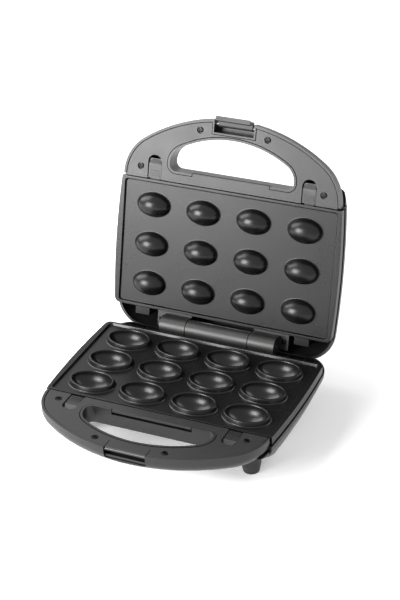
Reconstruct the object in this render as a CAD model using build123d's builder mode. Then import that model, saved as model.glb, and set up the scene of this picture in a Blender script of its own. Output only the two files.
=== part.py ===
from build123d import *
from math import atan2, cos, degrees, pi, radians, sin, sqrt, tan
import os

os.makedirs("parts", exist_ok=True)

# Countertop snack maker: two clamshell halves hinged at the back, each with a moulded housing,
# a D-shaped carrying handle at the front and a removable cast cooking plate.
# Each half is modelled in its own half frame: X to the right, Y to the back, Z away from the
# parting plane where the two halves meet, with Y = 0 on the middle row of shapes. The lid stands
# in that frame as it is. The base is the same frame turned over, mirrored in the parting plane.

# Plan of one half
side_half = 116.0
side_bow_radius = 850.0
side_bow_y = 5.0
seam_y = -66.5
back_y = 88.0
back_corner = 30.0
handle_step = 2.0
handle_reach = 66.5
handle_side_radius = 46.0
wall = 2.4

# Depth of one half, measured from the parting plane
handle_depth = 18.0
handle_round = 13.0
handle_ease = 8.0
body_depth = 38.0
body_round = 11.0
hull_ease = 4.0
waist_round = 10.0
rim_depth = 9.5
rim_gap = 0.4

# Raised body behind the handle: where it grows out of the handle slab, and where it ends
hull_start_depth = 14.0
hull_front_y = -82.0
hull_lead = 30.0
hull_taper = 24.0
crown_front_y = -45.0

# Legs and feet under the base
foot_height = 48.0
foot_x = 88.0
foot_front_y = -55.0
foot_back_y = 66.0
leg_radius = 9.6
foot_radius = 9.0
foot_taper = 9.0
foot_thickness = 9.0
foot_spigot_radius = 2.5
foot_spigot = 3.0

# Finger hole of the handle
hole_half = 63.5
hole_reach = 30.6
hole_centre_y = -83.0
hole_flat_y = -76.0
hole_side_radius = 18.0
hole_corner = 6.5
hole_wall = 2.2
slot_half = 40.0
slot_depth = 5.6

# Handle panel
panel_thickness = 2.3
panel_gap = 0.7
panel_sink = 0.5
panel_back_gap = 0.9
bulkhead = 2.0

# Sides of small round forms: in sight, and hidden
seen_sides = 12
small_sides = 8
shank_sides = 6

# Cross-head screws of the panels
screw_outer = (93.6, -76.0)
screw_inner = (34.2, -119.4)
screw_head_radius = 2.9
screw_head_height = 1.2
screw_shank_radius = 1.4
screw_length = 9.0
screw_recess = 0.35
boss_radius = 4.2

# Cooking plates
plate_front_y = -64.3
plate_back_y = 64.3
plate_inset = 0.6
plate_corner = 5.5
plate_floor = 2.4
plate_skirt_depth = 7.4
plate_skirt = 2.4
tray_half_x = 110.0
tray_half_y = 62.0
tray_depth = 2.3
tray_slope = 1.6
tray_corner = 3.0

# Shapes: four columns and three rows of half nutshells
columns = 4
rows = 3
column_pitch = 52.0
row_pitch = 39.5
bowl_half_x = 19.7
bowl_half_y = 13.2
collar_width = 2.1
collar_flare = 0.7
collar_round = 0.6
collar_gap = 0.4
dome_half_x = 17.0
dome_half_y = 11.5
cast_wall = 2.3
nutshell_sides = 14
nutshell_steps = 3
hidden_steps = 2

# Plate fixing: tabs at the back, sliders in the panel at the front
tab_x = 83.7
tab_half = 6.0
tab_reach = 5.2
tab_thickness = 2.2
tab_depth = 5.0
catch_half = 7.5
catch_gap = 0.4
catch_sheet = 1.8
catch_post = 3.0
slider_x = 79.0
slider_half = 6.6
slider_gap = 0.6
slider_front_y = -84.8
slider_travel = 3.5
slider_sink = 0.9
slider_flange = 2.4
slider_flange_thickness = 1.5
slider_tongue_half = 5.0
slider_tongue_reach = 1.6
slider_clearance = 0.3
rib_pitch = 2.4
rib_count = 3
rib_height = 0.5
spring_post = 1.8
spring_strip = 0.8
spring_height = 2.4
spring_leg = 9.0
spring_y = -82.0
plate_rest_x = 108.5
plate_rest_y = 30.0
plate_rest = 5.0

# Hinge
hinge_y = 77.6
open_angle = 104.3
barrel_radius = 8.8
barrel_half = 32.4
knuckle_gap = 0.7
knuckle_end = 60.0
pin_radius = 3.0
pin_clearance = 0.05
pin_end_inset = 1.5
relief_gap = 0.25
arm_thickness = 12.0
pad_depth = 8.0
pad_thickness = 3.0
pad_end = 69.0
pad_front_y = 66.8
pad_back_y = 82.8
pad_screw_x = 64.6
pad_screw_y = 74.5
barrel_foot_half = 42.0
barrel_screw_x = 36.5
barrel_screw_y = 71.0

# Latch on the nose of the lid and its pocket in the nose of the base
latch_half = 17.4
latch_side_gap = 2.8
latch_pocket_half = latch_half + latch_side_gap
latch_pocket_y = -119.4
latch_pocket_depth = 12.0
latch_pocket_wall = 1.6
nose_recess_y = -129.2
nose_flare = 3.0
latch_pivot_y = -127.0
latch_pivot_depth = 5.6
latch_barrel_radius = 3.0
latch_pin_radius = 1.25
latch_pin_clearance = 0.05
latch_skin = 2.2
latch_clearance = 0.35
latch_bite = 1.4
latch_parked_angle = 12.0
tongue_front_y = -130.6
tongue_thickness = 2.6
tongue_round = 2.0
catch_bar_height = 2.2

# Heating: reflector tray, tubular heater
reflector_half = 104.0
reflector_front_y = -59.0
reflector_back_y = 69.0
reflector_corner = 14.0
reflector_rim_depth = 14.0
reflector_floor_depth = 22.0
reflector_sheet = 0.8
heater_radius = 3.2
heater_gap = 0.3
heater_half_x = 90.0

# Electrical pieces
thermostat_radius = 8.0
thermostat_height = 8.0
fuse_radius = 2.0
fuse_length = 14.0
fuse_x = 40.0
terminal_size = (26.0, 13.0, 9.0)
terminal_x = 28.0
terminal_y = 48.0
gland_x = 70.0
gland_depth = 25.5
gland_bore = 3.5
gland_sleeve = 5.4
gland_flange = 7.6
gland_flange_thickness = 2.4
gland_length = 12.0
lamp_x = 9.0
lamp_y = -20.0
lamp_radius = 3.4
lamp_proud = 0.8
lamp_length = 9.0

# Worked out from the sizes above
seat = rim_gap / 2
tray_floor_depth = tray_depth + seat
collar_top = -(tray_floor_depth - collar_gap)
relief_slope = tan(radians(open_angle / 2))
panel_top = seat + panel_sink
panel_under = panel_top + panel_thickness
plate_under = tray_floor_depth + plate_floor
key_top = panel_under + slider_clearance
key_under = key_top + slider_flange_thickness
heater_depth = collar_top + bowl_half_y + cast_wall + heater_gap + heater_radius


def side_x(y, inset=0.0):
    """Half width of the bowed side at a place along the depth."""
    return side_half - inset - side_bow_radius + sqrt(side_bow_radius ** 2 - (y - side_bow_y) ** 2)


def body_face(front, back, inset, corner):
    """Plan of the part behind the seam: straight front and back, bowed sides."""
    front_x = side_x(front, inset)
    back_x = side_x(back, inset)
    with BuildSketch() as face:
        with BuildLine():
            Line((-front_x, front), (front_x, front))
            ThreePointArc((front_x, front), (side_half - inset, side_bow_y), (back_x, back))
            Line((back_x, back), (-back_x, back))
            ThreePointArc((-back_x, back), (inset - side_half, side_bow_y), (-front_x, front))
        make_face()
        fillet(face.vertices().group_by(Axis.Y)[-1], corner)
    return face.sketch


def crown_of(half, reach, side_radius):
    """Radius of the middle arc of a three-arc arch, which runs into its two side arcs."""
    return ((half - side_radius) ** 2 + reach ** 2 - side_radius ** 2) / (2 * (reach - side_radius))


def arch(half, reach, side_radius, base_y, tail, inset):
    """Three-arc arch that bulges to the front from a line at base_y and runs straight back by a tail."""
    crown_radius = crown_of(half, reach, side_radius)
    turn = atan2(half - side_radius, crown_radius - reach)
    small = side_radius - inset
    large = crown_radius - inset
    join = (large * sin(turn), base_y - reach + crown_radius - large * cos(turn))
    middle = (half - side_radius + small * cos(pi / 4 - turn / 2), base_y - small * sin(pi / 4 - turn / 2))
    side = half - inset
    with BuildSketch() as face:
        with BuildLine():
            ThreePointArc((side, base_y), middle, join)
            ThreePointArc(join, (0, base_y - reach + inset), (-join[0], join[1]))
            ThreePointArc((-join[0], join[1]), (-middle[0], middle[1]), (-side, base_y))
            Polyline((-side, base_y), (-side, base_y + tail), (side, base_y + tail), (side, base_y))
        make_face()
    return face.sketch


def handle_face(inset, tail=handle_reach):
    """The D of the handle, with a tail that runs back into the body."""
    return arch(side_x(seam_y) - handle_step, handle_reach, handle_side_radius, seam_y, tail, inset)


def half_outline(inset):
    """Plan of a whole half: the body and the D of the handle, with the small step between them."""
    with BuildSketch() as face:
        add(body_face(seam_y + inset, back_y - inset, inset, back_corner - inset))
        add(handle_face(inset))
    return face.sketch


def hole_face(grow):
    """The D of the finger hole, flat towards the plate."""
    with BuildSketch() as face:
        add(arch(hole_half, hole_reach, hole_side_radius, hole_centre_y,
                 hole_flat_y + grow - hole_centre_y, -grow))
        fillet(face.vertices().group_by(Axis.Y)[-1], hole_corner + grow)
    return face.sketch


def half_block(inset):
    """Outer form of a half, or its hollow when it is drawn in by the wall, with plain chamfers inside."""
    rise = body_depth - hull_start_depth
    slope = Vector(0, -rise, crown_front_y - hull_front_y).normalized()
    with BuildPart() as hull:
        with BuildSketch(Plane.XY.offset(hull_start_depth)):
            add(body_face(hull_front_y - hull_lead, back_y - inset, inset, back_corner - inset))
        extrude(amount=rise - inset, taper=hull_taper)
        split(bisect_by=Plane(Vector(0, crown_front_y, body_depth) - slope * inset, (1, 0, 0), slope),
              keep=Keep.BOTTOM)
        crown = hull.edges().filter_by(lambda edge: edge.center().Z > hull_start_depth + wall)
        if inset > 0:
            chamfer(crown, hull_ease)
        else:
            fillet(crown, body_round)
    with BuildPart() as form:
        with BuildSketch():
            add(handle_face(inset, -seam_y / 4))
        extrude(amount=handle_depth - inset)
        under = form.faces().sort_by(Axis.Z)[-1].outer_wire().edges().sort_by(Axis.Y)[:-1]
        if inset > 0:
            chamfer(under, handle_ease)
        else:
            fillet(under, handle_round)
        add(hull.part)
        with BuildSketch():
            add(half_outline(inset))
        extrude(amount=body_depth, mode=Mode.INTERSECT)
        with BuildSketch():
            add(body_face(seam_y + inset, back_y - inset, inset, back_corner - inset))
        extrude(amount=hull_start_depth)
        if inset == 0:
            waist = form.edges().filter_by_position(Axis.Z, hull_start_depth, hull_start_depth)
            fillet(waist.filter_by_position(Axis.Y, seam_y + wall, back_y), waist_round)
    return form.part


outer_form = half_block(0.0)
inner_form = half_block(wall)
middle_form = half_block(wall / 2)


# Where the finished object stands: feet on Z = 0, centred on its outline with the lid open
lid_swing = (Location((0, hinge_y, 0)) * Location((0, 0, 0), (-open_angle, 0, 0))
             * Location((0, -hinge_y, 0)))
nose_radius = crown_of(side_x(seam_y) - handle_step, handle_reach, handle_side_radius)
nose_y = seam_y - handle_reach + nose_radius - sqrt(nose_radius ** 2 - latch_pocket_half ** 2)
open_back_y = (lid_swing * outer_form).bounding_box().max.Y
standing_place = Location((0, -(nose_y + open_back_y) / 2, foot_height))


def finish_base(piece, name):
    """Turn a piece of the base over, stand it in place, name it and write it."""
    placed = standing_place * mirror(piece, about=Plane.XY)
    placed.label = name
    export_step(placed, "parts/" + name + ".step")


def finish_upright(piece, name):
    """A piece modelled upright about the parting plane that stays with the base."""
    placed = standing_place * piece
    placed.label = name
    export_step(placed, "parts/" + name + ".step")


def finish_lid(piece, name):
    """Swing a piece of the lid to its open rest, name it and write it."""
    placed = standing_place * lid_swing * piece
    placed.label = name
    export_step(placed, "parts/" + name + ".step")


def screw_places():
    """The four panel screws, two beside the plate and two beside the latch."""
    outer_x, outer_y = screw_outer
    inner_x, inner_y = screw_inner
    return [(-outer_x, outer_y), (outer_x, outer_y), (-inner_x, inner_y), (inner_x, inner_y)]


def foot_places():
    return [(x, y) for x in (-foot_x, foot_x) for y in (foot_front_y, foot_back_y)]


# What both housings carry inside: the wall round the finger hole, the bulkhead behind the handle,
# bosses for the panel screws, posts for the reflector tray, and the slides for the release keys
with BuildPart() as inner_fittings:
    with BuildSketch(Plane.XY.offset(seat + panel_sink / 2)):
        add(hole_face(hole_wall))
    extrude(amount=handle_depth)
    with BuildSketch(Plane.XY.offset(panel_under)):
        with Locations((0, seam_y - panel_back_gap)):
            Rectangle(2 * side_half, bulkhead)
        with Locations(*screw_places()):
            RegularPolygon(boss_radius, small_sides)
    extrude(amount=body_depth)
    with BuildSketch(Plane.XY.offset(reflector_floor_depth)):
        with GridLocations(1.6 * heater_half_x, 1.6 * tray_half_y, 2, 2):
            Rectangle(2 * boss_radius, 2 * boss_radius)
    extrude(amount=body_depth)
    with BuildSketch(Plane.XY.offset(plate_under)):
        with GridLocations(2 * plate_rest_x, 2 * plate_rest_y, 2, 2):
            Rectangle(plate_rest, plate_rest)
    extrude(amount=body_depth)
    with BuildSketch(Plane.XY.offset(key_under + slider_clearance)):
        with Locations((-slider_x, spring_y), (slider_x, spring_y)):
            RegularPolygon(spring_post, small_sides)
    extrude(amount=handle_depth)
    add(middle_form, mode=Mode.INTERSECT)


def open_housing():
    """The moulded shell that both housings start from."""
    with BuildPart() as shell:
        add(outer_form)
        add(inner_form, mode=Mode.SUBTRACT)
        with BuildSketch():
            add(half_outline(-wall))
        extrude(amount=seat, mode=Mode.SUBTRACT)
        with BuildSketch():
            with Locations((0, seam_y + side_half)):
                Rectangle(4 * side_half, 2 * side_half)
        extrude(amount=rim_depth, mode=Mode.SUBTRACT)
        add(inner_fittings.part)
        with BuildSketch():
            add(hole_face(0))
        extrude(amount=body_depth, mode=Mode.SUBTRACT)
        with BuildSketch():
            with Locations((0, hole_flat_y + hole_wall / 2)):
                Rectangle(2 * slot_half, 2 * hole_wall)
        extrude(amount=slot_depth, mode=Mode.SUBTRACT)
        with BuildSketch(Plane.XY.offset(panel_under)):
            with Locations((-slider_x, seam_y - panel_back_gap), (slider_x, seam_y - panel_back_gap)):
                Rectangle(2 * (slider_half + slider_gap), 2 * bulkhead)
        extrude(amount=slider_flange_thickness + 2 * slider_clearance, mode=Mode.SUBTRACT)
        with BuildSketch(Plane.XY.offset(panel_under)):
            with Locations(*screw_places()):
                RegularPolygon(screw_shank_radius, shank_sides)
        extrude(amount=screw_length, mode=Mode.SUBTRACT)
        with BuildSketch(Plane.YZ):
            with BuildLine():
                Polyline((hinge_y - relief_gap, 0), (back_y + wall, 0),
                         (back_y + wall, relief_gap + (back_y + wall - hinge_y) * relief_slope),
                         (hinge_y - relief_gap, relief_gap), (hinge_y - relief_gap, 0))
            make_face()
        extrude(amount=side_half, both=True, mode=Mode.SUBTRACT)
    return shell.part


housing_form = open_housing()


# Walls of the pocket in the nose that the latch turns in
def latch_pocket(top):
    with BuildPart() as walls:
        with BuildSketch(Plane.XY.offset(top)):
            with Locations((0, latch_pocket_y - handle_reach / 2 + latch_pocket_wall)):
                Rectangle(2 * (latch_pocket_half + latch_pocket_wall), handle_reach)
        extrude(amount=latch_pocket_depth + latch_pocket_wall - top)
        add(middle_form, mode=Mode.INTERSECT)
    return walls.part


def pocket_cut():
    """The space of the latch, open to the parting plane and to the nose, where it flares at its end."""
    with BuildPart() as space:
        with BuildSketch():
            with Locations((0, latch_pocket_y - handle_reach / 2)):
                Rectangle(2 * latch_pocket_half, handle_reach)
        extrude(amount=latch_pocket_depth)
        with BuildSketch(Plane.XZ.offset(-nose_recess_y)):
            with BuildLine():
                Polyline((-latch_pocket_half, 0), (-latch_pocket_half, latch_pocket_depth),
                         (-latch_pocket_half - nose_flare, handle_depth),
                         (latch_pocket_half + nose_flare, handle_depth),
                         (latch_pocket_half, latch_pocket_depth), (latch_pocket_half, 0), close=True)
            make_face()
        extrude(amount=handle_round)
    return space.part


# Lid housing: moulded shell with the latch pocket, bosses for the hinge knuckles and lamp holes
with BuildPart() as knuckle_bosses:
    with BuildSketch(Plane.XY.offset(pad_depth + pad_thickness)):
        with Locations((-pad_screw_x, pad_screw_y), (pad_screw_x, pad_screw_y)):
            RegularPolygon(boss_radius, small_sides)
        with Locations((-barrel_half - boss_radius, pad_screw_y), (barrel_half + boss_radius, pad_screw_y)):
            RegularPolygon(boss_radius, small_sides)
    extrude(amount=body_depth)
    add(middle_form, mode=Mode.INTERSECT)

with BuildPart() as lid_housing:
    add(housing_form)
    add(latch_pocket(seat))
    add(pocket_cut(), mode=Mode.SUBTRACT)
    with BuildSketch(Plane.YZ.offset(-latch_pocket_half - latch_pocket_wall)):
        with Locations((latch_pivot_y, latch_pivot_depth)):
            Circle(latch_pin_radius)
    extrude(amount=2 * (latch_pocket_half + latch_pocket_wall), mode=Mode.SUBTRACT)
    add(knuckle_bosses.part)
    with BuildSketch(Plane.XY.offset(pad_depth + pad_thickness)):
        with Locations((-pad_screw_x, pad_screw_y), (pad_screw_x, pad_screw_y)):
            RegularPolygon(screw_shank_radius, shank_sides)
    extrude(amount=screw_length, mode=Mode.SUBTRACT)
    with BuildSketch(Plane.XY.offset(body_depth - 2 * wall)):
        with Locations((-lamp_x, lamp_y), (lamp_x, lamp_y)):
            RegularPolygon(lamp_radius, seen_sides)
    extrude(amount=3 * wall, mode=Mode.SUBTRACT)
finish_lid(lid_housing.part, "lid_housing")

# Base housing: the same shell with legs, a pocket under the tongue and the cord inlet
with BuildPart() as legs:
    with BuildSketch(Plane.XY.offset(hull_start_depth)):
        with Locations(*foot_places()):
            RegularPolygon(leg_radius, seen_sides)
    extrude(amount=foot_height - foot_thickness - hull_start_depth)
    add(inner_form, mode=Mode.SUBTRACT)

with BuildPart() as gland_pad:
    with BuildSketch(Plane.XZ.offset(-back_y)):
        with Locations((gland_x, gland_depth)):
            RegularPolygon(gland_flange + slider_clearance, seen_sides)
    extrude(amount=gland_length)
    add(inner_form, mode=Mode.SUBTRACT)

with BuildPart() as base_housing:
    add(housing_form)
    add(latch_pocket(panel_under))
    add(pocket_cut(), mode=Mode.SUBTRACT)
    with BuildSketch(Plane.YZ.offset(-latch_pocket_half - latch_pocket_wall / 2)):
        with Locations((latch_pocket_y - handle_reach / 14, latch_pocket_depth - catch_bar_height)):
            Rectangle(handle_reach / 7, catch_bar_height)
    extrude(amount=2 * latch_pocket_half + latch_pocket_wall)
    add(legs.part)
    add(gland_pad.part)
    with BuildSketch(Plane.XY.offset(foot_height - foot_thickness - foot_spigot)):
        with Locations(*foot_places()):
            RegularPolygon(foot_spigot_radius, small_sides)
    extrude(amount=2 * foot_spigot, mode=Mode.SUBTRACT)
    with BuildSketch(Plane.XY.offset(body_depth - wall - pad_thickness)):
        with Locations((-barrel_screw_x, barrel_screw_y), (barrel_screw_x, barrel_screw_y)):
            RegularPolygon(boss_radius, small_sides)
    extrude(amount=pad_thickness + wall / 2)
    with BuildSketch(Plane.XY.offset(body_depth - wall - pad_thickness)):
        with Locations((-barrel_screw_x, barrel_screw_y), (barrel_screw_x, barrel_screw_y)):
            RegularPolygon(screw_shank_radius, shank_sides)
    extrude(amount=pad_thickness, mode=Mode.SUBTRACT)
    with BuildSketch(Plane.XZ.offset(-back_y)):
        with Locations((gland_x, gland_depth)):
            RegularPolygon(gland_sleeve, seen_sides)
    extrude(amount=2 * gland_length, mode=Mode.SUBTRACT)
finish_base(base_housing.part, "base_housing")


# Handle panels: flat D-shaped covers that close the front of each half
def handle_panel():
    with BuildPart() as panel:
        with BuildSketch(Plane.XY.offset(panel_top)):
            add(handle_face(wall + panel_gap, plate_front_y - panel_back_gap - seam_y))
        extrude(amount=panel_thickness)
        with BuildSketch(Plane.XY.offset(panel_top)) as opening:
            add(hole_face(hole_wall + panel_gap))
            with Locations((0, hole_flat_y + hole_reach / 2)):
                Rectangle(2 * (slot_half - panel_gap), hole_reach, mode=Mode.SUBTRACT)
        extrude(amount=panel_thickness, mode=Mode.SUBTRACT)
        with BuildSketch(Plane.XY.offset(panel_top)):
            for side in (-1, 1):
                with Locations((side * slider_x, slider_front_y - slider_travel
                                + slider_half)):
                    Circle(slider_half + slider_gap)
                with Locations((side * slider_x, slider_front_y - slider_travel + slider_half
                                + handle_reach / 2)):
                    Rectangle(2 * (slider_half + slider_gap), handle_reach)
        extrude(amount=panel_thickness, mode=Mode.SUBTRACT)
        with BuildSketch(Plane.XY.offset(panel_top)):
            with Locations(*screw_places()):
                RegularPolygon(screw_head_radius, seen_sides)
        extrude(amount=screw_recess + screw_head_height, mode=Mode.SUBTRACT)
        with BuildSketch(Plane.XY.offset(panel_top)):
            with Locations(*screw_places()):
                RegularPolygon(screw_shank_radius, shank_sides)
        extrude(amount=panel_thickness, mode=Mode.SUBTRACT)
    return panel.part


panel_form = handle_panel()

with BuildPart() as lid_panel:
    add(panel_form)
    with BuildSketch(Plane.XY.offset(panel_top)):
        with Locations((0, latch_pocket_y - handle_reach / 2 + latch_pocket_wall + panel_gap)):
            Rectangle(2 * (latch_pocket_half + latch_pocket_wall + panel_gap), handle_reach)
    extrude(amount=panel_thickness, mode=Mode.SUBTRACT)
finish_lid(lid_panel.part, "lid_handle_panel")

# The base panel runs out between two slits into a tongue over the pocket, which the latch hooks under
with BuildPart() as tongue:
    with BuildSketch(Plane.XY.offset(panel_top)):
        with Locations((0, (tongue_front_y + latch_pocket_y) / 2)):
            Rectangle(2 * (latch_pocket_half - latch_clearance), latch_pocket_y - tongue_front_y)
    extrude(amount=tongue_thickness)
    fillet(tongue.edges().group_by(Axis.Z)[0].sort_by(Axis.Y)[0], tongue_round)

with BuildPart() as base_panel:
    add(panel_form)
    with BuildSketch(Plane.XY.offset(panel_top)):
        with Locations((0, latch_pocket_y - handle_reach / 2)):
            Rectangle(2 * (latch_pocket_half + latch_clearance), handle_reach)
    extrude(amount=panel_thickness, mode=Mode.SUBTRACT)
    add(tongue.part)
finish_base(base_panel.part, "base_handle_panel")


# Screws: a low round head and a shank, the same for the panels and the hinge pieces
def screws(places, head_depth, length):
    with BuildPart() as fasteners:
        with BuildSketch(Plane.XY.offset(head_depth)):
            with Locations(*places):
                RegularPolygon(screw_head_radius, seen_sides)
        extrude(amount=-screw_head_height)
        with BuildSketch(Plane.XY.offset(head_depth)):
            with Locations(*places):
                RegularPolygon(screw_shank_radius, shank_sides)
        extrude(amount=length)
    return fasteners.part


screw_form = screws(screw_places(), panel_top + screw_recess + screw_head_height, screw_length)
finish_lid(screw_form, "lid_panel_screws")
finish_base(screw_form, "base_panel_screws")


# Cooking plates: cast and coated, with a skirt, a shallow tray and tabs at the back
def oval(half_x, half_y, depth, sides):
    """Corners of a faceted oval, so that the many shapes of the plates stay light."""
    turns = [2 * pi * (corner + 0.5) / sides for corner in range(sides)]
    return [Vector(half_x * cos(turn), half_y * sin(turn), depth) for turn in turns]


def stacked(ovals):
    """Solid between the first and the last oval of a stack, with flat facets from each to the next."""
    facets = [Face(Wire.make_polygon(ovals[0])), Face(Wire.make_polygon(ovals[-1]))]
    for low, high in zip(ovals, ovals[1:]):
        for near, far in zip(range(-1, len(low) - 1), range(len(low))):
            facets.append(Face(Wire.make_polygon((low[near], low[far], high[far], high[near]))))
    return Solid(Shell(facets))


def half_nutshell(half_x, half_y, depth, direction, sides, steps):
    """Half of a nutshell: ovals that shrink from its mouth to a small flat at its end."""
    turns = [pi / 2 * step / (steps + 0.5) for step in range(steps + 1)]
    ovals = [oval(half_x * cos(turn), half_y * cos(turn), depth + direction * half_y * sin(turn), sides)
             for turn in turns]
    return stacked(ovals)


def plate_blank():
    slope = degrees(atan2(tray_slope, tray_depth))
    with BuildPart() as blank:
        with BuildSketch(Plane.XY.offset(seat)):
            add(body_face(plate_front_y, plate_back_y, plate_inset, plate_corner))
        extrude(amount=plate_skirt_depth - seat)
        with BuildSketch(Plane.XY.offset(plate_under)):
            add(body_face(plate_front_y + plate_skirt, plate_back_y - plate_skirt,
                          plate_inset + plate_skirt, plate_corner - plate_skirt))
        extrude(amount=plate_skirt_depth, mode=Mode.SUBTRACT)
        with BuildSketch(Plane.XY.offset(seat)):
            RectangleRounded(2 * tray_half_x, 2 * tray_half_y, tray_corner)
        extrude(amount=tray_depth, taper=slope, mode=Mode.SUBTRACT)
        with BuildSketch(Plane.XY.offset(tab_depth)):
            with Locations((-tab_x, plate_back_y), (tab_x, plate_back_y)):
                Rectangle(2 * tab_half, 2 * tab_reach)
        extrude(amount=tab_thickness)
        with BuildSketch(Plane.XY.offset(plate_under)):
            with Locations((-tab_x, plate_back_y - tab_reach), (tab_x, plate_back_y - tab_reach)):
                Rectangle(2 * tab_half + 2 * plate_skirt, 2 * (tab_reach - plate_skirt),
                          mode=Mode.ADD)
        extrude(amount=plate_skirt_depth, mode=Mode.SUBTRACT)
        with BuildSketch(Plane.XY.offset(panel_under)):
            with Locations((-slider_x, plate_front_y), (slider_x, plate_front_y)):
                Rectangle(2 * (slider_tongue_half + slider_clearance), 2 * (plate_skirt - slider_clearance))
        extrude(amount=slider_flange_thickness + 2 * slider_clearance, mode=Mode.SUBTRACT)
    return blank.part


plate_form = plate_blank()

bowl_mouth = collar_top - collar_round
dome = half_nutshell(dome_half_x, dome_half_y, tray_floor_depth, -1, nutshell_sides, nutshell_steps)
dome_back = half_nutshell(dome_half_x - cast_wall, dome_half_y - cast_wall, tray_floor_depth, -1,
                          small_sides, hidden_steps)
dome_root = stacked([oval(dome_half_x - cast_wall, dome_half_y - cast_wall, depth, small_sides)
                     for depth in (tray_floor_depth, plate_under)])
bowl = half_nutshell(bowl_half_x, bowl_half_y, bowl_mouth, 1, nutshell_sides, nutshell_steps)
bowl_back = half_nutshell(bowl_half_x + cast_wall, bowl_half_y + cast_wall, bowl_mouth, 1,
                          small_sides, hidden_steps)

with BuildPart() as upper_plate:
    add(plate_form)
    with GridLocations(column_pitch, row_pitch, columns, rows):
        add(dome)
        add(dome_back, mode=Mode.SUBTRACT)
        add(dome_root, mode=Mode.SUBTRACT)
finish_lid(upper_plate.part, "upper_plate")

# Collar and cup of one bowl, standing up from the tray of the lower plate and hanging below it
collar_half_x = bowl_half_x + collar_width
collar_half_y = bowl_half_y + collar_width
flare = 1 + collar_flare / collar_half_y
draw_in = 1 - collar_round / collar_half_y
collar = stacked([oval(collar_half_x * flare, collar_half_y * flare, tray_floor_depth, nutshell_sides),
                  oval(collar_half_x, collar_half_y, collar_top + collar_round, nutshell_sides),
                  oval(collar_half_x * draw_in, collar_half_y * draw_in, collar_top, nutshell_sides)])

# The cups hang below the tray, so they are joined to it from below the middle of its floor
with BuildPart() as cups:
    with GridLocations(column_pitch, row_pitch, columns, rows):
        add(bowl_back)
    with BuildSketch(Plane.XY.offset(tray_floor_depth + plate_floor / 2)):
        Rectangle(2 * side_half, 2 * side_half)
    extrude(amount=-body_depth, mode=Mode.SUBTRACT)

with BuildPart() as lower_plate:
    add(plate_form)
    add(cups.part)
    with GridLocations(column_pitch, row_pitch, columns, rows):
        add(collar)
        add(bowl, mode=Mode.SUBTRACT)
finish_base(lower_plate.part, "lower_plate")


# Sprung catches that the plate tabs slide into
def plate_catches():
    floor = body_depth - wall
    post_front = plate_back_y + tab_reach + catch_gap
    with BuildPart() as catches:
        with BuildSketch(Plane.YZ.offset(tab_x - catch_half)):
            with BuildLine():
                Polyline((post_front, floor), (post_front, tab_depth + tab_thickness + catch_gap
                                               + catch_sheet),
                         (plate_back_y + 1.2, tab_depth + tab_thickness + catch_gap + catch_sheet),
                         (plate_back_y + 1.2, tab_depth + tab_thickness + catch_gap),
                         (post_front, tab_depth + tab_thickness + catch_gap),
                         (post_front, tab_depth - catch_gap), (plate_back_y + 1.2, tab_depth - catch_gap),
                         (plate_back_y + 1.2, tab_depth - catch_gap - catch_sheet),
                         (post_front + catch_post, tab_depth - catch_gap - catch_sheet),
                         (post_front + catch_post, floor), (post_front, floor))
            make_face()
        extrude(amount=2 * catch_half)
        mirror(about=Plane.YZ)
        add(inner_form, mode=Mode.INTERSECT)
    return catches.part


catch_form = plate_catches()
finish_lid(catch_form, "lid_plate_catches")
finish_base(catch_form, "base_plate_catches")


# Release keys: ribbed sliders in the panel whose tongues hold the front of the plate
def release_key(side):
    face_depth = panel_top + slider_sink
    front_centre = slider_front_y + slider_half
    back_edge = plate_front_y - panel_back_gap - slider_gap
    flange_back = seam_y - panel_back_gap - bulkhead / 2 - slider_clearance
    with BuildPart() as key:
        with BuildSketch(Plane.XY.offset(face_depth)):
            with Locations((side * slider_x, front_centre)):
                Circle(slider_half)
            with Locations((side * slider_x, (front_centre + back_edge) / 2)):
                Rectangle(2 * slider_half, back_edge - front_centre)
        extrude(amount=key_under - face_depth)
        with BuildSketch(Plane.XY.offset(key_top)):
            with Locations((side * slider_x, (slider_front_y + flange_back) / 2)):
                Rectangle(2 * (slider_half + slider_flange), flange_back - slider_front_y)
            with Locations((side * slider_x, (plate_front_y + slider_tongue_reach + front_centre) / 2)):
                Rectangle(2 * slider_tongue_half, plate_front_y + slider_tongue_reach - front_centre)
        extrude(amount=slider_flange_thickness)
        with BuildSketch(Plane.XY.offset(face_depth)):
            for step in range(rib_count):
                with Locations((side * slider_x, back_edge - rib_pitch * (step + 0.8))):
                    Rectangle(2 * slider_half - rib_pitch, rib_pitch / 2)
        extrude(amount=-rib_height)
    return key.part


def key_spring(side):
    """Bent strip beside the post under a key, drawn at rest."""
    with BuildPart() as strip:
        with BuildSketch(Plane.XY.offset(key_under + 2 * slider_clearance)):
            with Locations((side * slider_x, spring_y + spring_post + spring_strip / 2)):
                Rectangle(spring_leg, spring_strip)
            with Locations((side * slider_x - spring_leg / 2, spring_y + spring_post - spring_strip)):
                Rectangle(spring_strip, 4 * spring_strip)
        extrude(amount=spring_height)
    return strip.part


for side, word in ((-1, "left"), (1, "right")):
    key_form = release_key(side)
    spring_form = key_spring(side)
    finish_lid(key_form, "lid_release_" + word)
    finish_base(key_form, "base_release_" + word)
    finish_lid(spring_form, "lid_release_spring_" + word)
    finish_base(spring_form, "base_release_spring_" + word)

# Hinge barrel: stands on the floor of the base and carries the pin
with BuildPart() as barrel_foot:
    with BuildSketch():
        with Locations((0, hinge_y)):
            Rectangle(2 * barrel_half, arm_thickness)
    extrude(amount=body_depth - wall - pad_thickness)
    with BuildSketch(Plane.XY.offset(body_depth - wall - 2 * pad_thickness)):
        with Locations((0, hinge_y - arm_thickness / 4)):
            Rectangle(2 * barrel_foot_half, 1.5 * arm_thickness)
    extrude(amount=pad_thickness)
    add(inner_form, mode=Mode.INTERSECT)

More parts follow.
